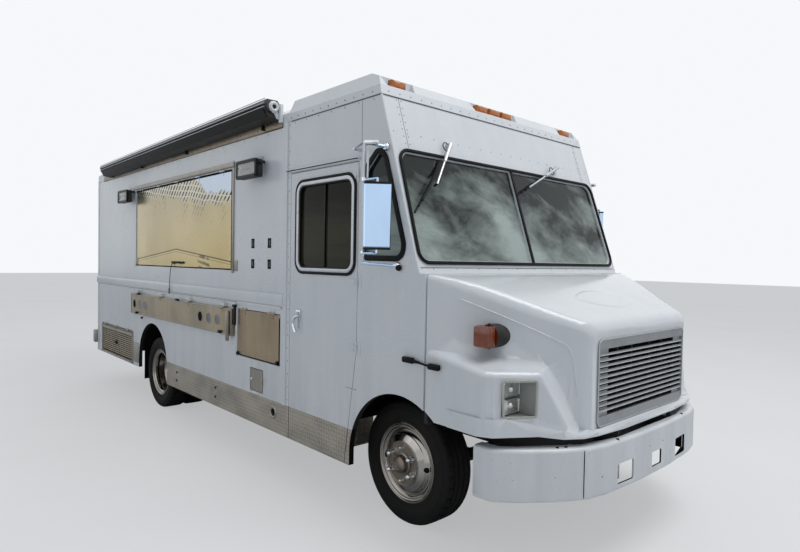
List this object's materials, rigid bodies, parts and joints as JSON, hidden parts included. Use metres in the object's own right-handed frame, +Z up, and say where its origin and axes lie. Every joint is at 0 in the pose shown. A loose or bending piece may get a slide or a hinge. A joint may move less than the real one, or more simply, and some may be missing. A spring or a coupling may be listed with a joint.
{
  "type": "food truck",
  "caption": "Walk-in van food truck with a serving hatch, drop shelf, rolled awning, cab doors, tilting hood and twin rear wheels; steers and rolls.",
  "frame": {"origin": "bottom centre of the whole box, on the ground between the wheels", "axes": "+X forward along the vehicle, +Y to its left, +Z up"},
  "size_m": [7.53, 2.7742, 3],
  "materials": {
    "white_paint": "white enamel, lightly weathered",
    "stainless": "bright stainless sheet",
    "polished_steel": "polished",
    "tread_plate": "raised diamond tread plate",
    "tank_aluminium": "dull mill finish",
    "black_plastic": "matt black",
    "chassis_black": "black chassis paint, dusty",
    "cast_block": "dark castings",
    "floor_plate": "worn floor plate",
    "glass": "tinted safety glass",
    "awning_grey": "rolled charcoal awning cloth in its case",
    "amber_lens": "moulded lens",
    "seat_fabric": "dark woven seat cloth",
    "grille_silver": "silver-grey paint",
    "lamp_bowl": "lamp bowls and lenses",
    "tyre": "dusty black rubber"
  },
  "bodies": {
    "truck": {"chassis_frame": "chassis_black", "front_axle": "chassis_black", "rear_axle": "chassis_black", "engine_block": "cast_block", "fuel_tank": "tank_aluminium", "wheel_wells": "black_plastic", "floor": "floor_plate", "side_wall_right": "white_paint", "side_wall_left": "white_paint", "rear_wall": "white_paint", "box_roof": "white_paint", "cab_roof": "white_paint", "cab_front": "white_paint", "cab_sides": "white_paint", "fixed_glass": "glass", "side_skirts": "tread_plate", "front_bumper": "white_paint", "rear_bumper": "tread_plate", "awning": "awning_grey", "body_lamps": "amber_lens", "mirrors": "polished_steel", "dashboard": "black_plastic", "driver_seat": "seat_fabric"},
    "knuckle_right": {"knuckle_right": "cast_block"},
    "knuckle_left": {"knuckle_left": "cast_block"},
    "front_wheel_right": {"front_rim_right": "polished_steel", "front_tyre_right": "tyre"},
    "front_wheel_left": {"front_rim_left": "polished_steel", "front_tyre_left": "tyre"},
    "rear_wheels_right": {"rear_rims_right": "polished_steel", "rear_tyres_right": "tyre"},
    "rear_wheels_left": {"rear_rims_left": "polished_steel", "rear_tyres_left": "tyre"},
    "cab_door_right": {"door_right": "white_paint", "door_glass_right": "glass"},
    "cab_door_left": {"door_left": "white_paint", "door_glass_left": "glass"},
    "back_door_right": {"rear_door_right": "white_paint"},
    "back_door_left": {"rear_door_left": "white_paint"},
    "tilt_hood": {"hood": "white_paint", "grille": "grille_silver", "headlamps": "lamp_bowl"},
    "serving_hatch": {"serving_hatch": "stainless"},
    "drop_shelf": {"drop_shelf": "stainless"},
    "access_panel": {"access_panel": "stainless"},
    "small_hatch": {"small_hatch": "stainless"},
    "vent_door": {"vent_door": "tread_plate"}
  },
  "joints": [
    {"name": "steer_right", "type": "hinge", "parent": "truck", "child": "knuckle_right", "pos_m": [2.537, -0.7, 0.404], "axis": [0, 0, 1], "range_deg": [-35, 35]},
    {"name": "steer_left", "type": "hinge", "parent": "truck", "child": "knuckle_left", "pos_m": [2.537, 0.7, 0.404], "axis": [0, 0, 1], "range_deg": [-35, 35]},
    {"name": "spin_front_right", "type": "hinge", "parent": "knuckle_right", "child": "front_wheel_right", "pos_m": [2.537, -0.862, 0.404], "axis": [0, 1, 0], "continuous": true},
    {"name": "spin_front_left", "type": "hinge", "parent": "knuckle_left", "child": "front_wheel_left", "pos_m": [2.537, 0.862, 0.404], "axis": [0, 1, 0], "continuous": true},
    {"name": "spin_rear_right", "type": "hinge", "parent": "truck", "child": "rear_wheels_right", "pos_m": [-1.476, -0.872, 0.404], "axis": [0, 1, 0], "continuous": true},
    {"name": "spin_rear_left", "type": "hinge", "parent": "truck", "child": "rear_wheels_left", "pos_m": [-1.476, 0.872, 0.404], "axis": [0, 1, 0], "continuous": true},
    {"name": "cab_door_right", "type": "hinge", "parent": "truck", "child": "cab_door_right", "pos_m": [2.277, -1.189, 1.37], "axis": [0, 0, 1], "range_deg": [0, 80]},
    {"name": "cab_door_left", "type": "hinge", "parent": "truck", "child": "cab_door_left", "pos_m": [2.277, 1.189, 1.37], "axis": [0, 0, -1], "range_deg": [0, 80]},
    {"name": "back_door_right", "type": "hinge", "parent": "truck", "child": "back_door_right", "pos_m": [-3.681, -0.61, 1.64], "axis": [0, 0, 1], "range_deg": [0, 110]},
    {"name": "back_door_left", "type": "hinge", "parent": "truck", "child": "back_door_left", "pos_m": [-3.681, 0.61, 1.64], "axis": [0, 0, -1], "range_deg": [0, 110]},
    {"name": "hood_tilt", "type": "hinge", "parent": "truck", "child": "tilt_hood", "pos_m": [3.687, 0, 0.782], "axis": [0, 1, 0], "range_deg": [0, 55]},
    {"name": "serving_hatch", "type": "hinge", "parent": "truck", "child": "serving_hatch", "pos_m": [-0.798, -1.189, 2.525], "axis": [-1, 0, 0], "range_deg": [0, 90]},
    {"name": "drop_shelf", "type": "hinge", "parent": "truck", "child": "drop_shelf", "pos_m": [-0.814, -1.22, 1.287], "axis": [-1, 0, 0], "range_deg": [0, 90]},
    {"name": "access_panel", "type": "hinge", "parent": "truck", "child": "access_panel", "pos_m": [0.945, -1.189, 1.291], "axis": [-1, 0, 0], "range_deg": [0, 80]},
    {"name": "small_hatch", "type": "hinge", "parent": "truck", "child": "small_hatch", "pos_m": [1.035, -1.189, 0.7135], "axis": [0, 0, 1], "range_deg": [0, 100]},
    {"name": "vent_door", "type": "hinge", "parent": "truck", "child": "vent_door", "pos_m": [-2.82, -1.189, 0.812], "axis": [-1, 0, 0], "range_deg": [0, 80]}
  ],
  "couplings": [
    {"joint": "steer_left", "follows": "steer_right", "ratio": 1}
  ]
}
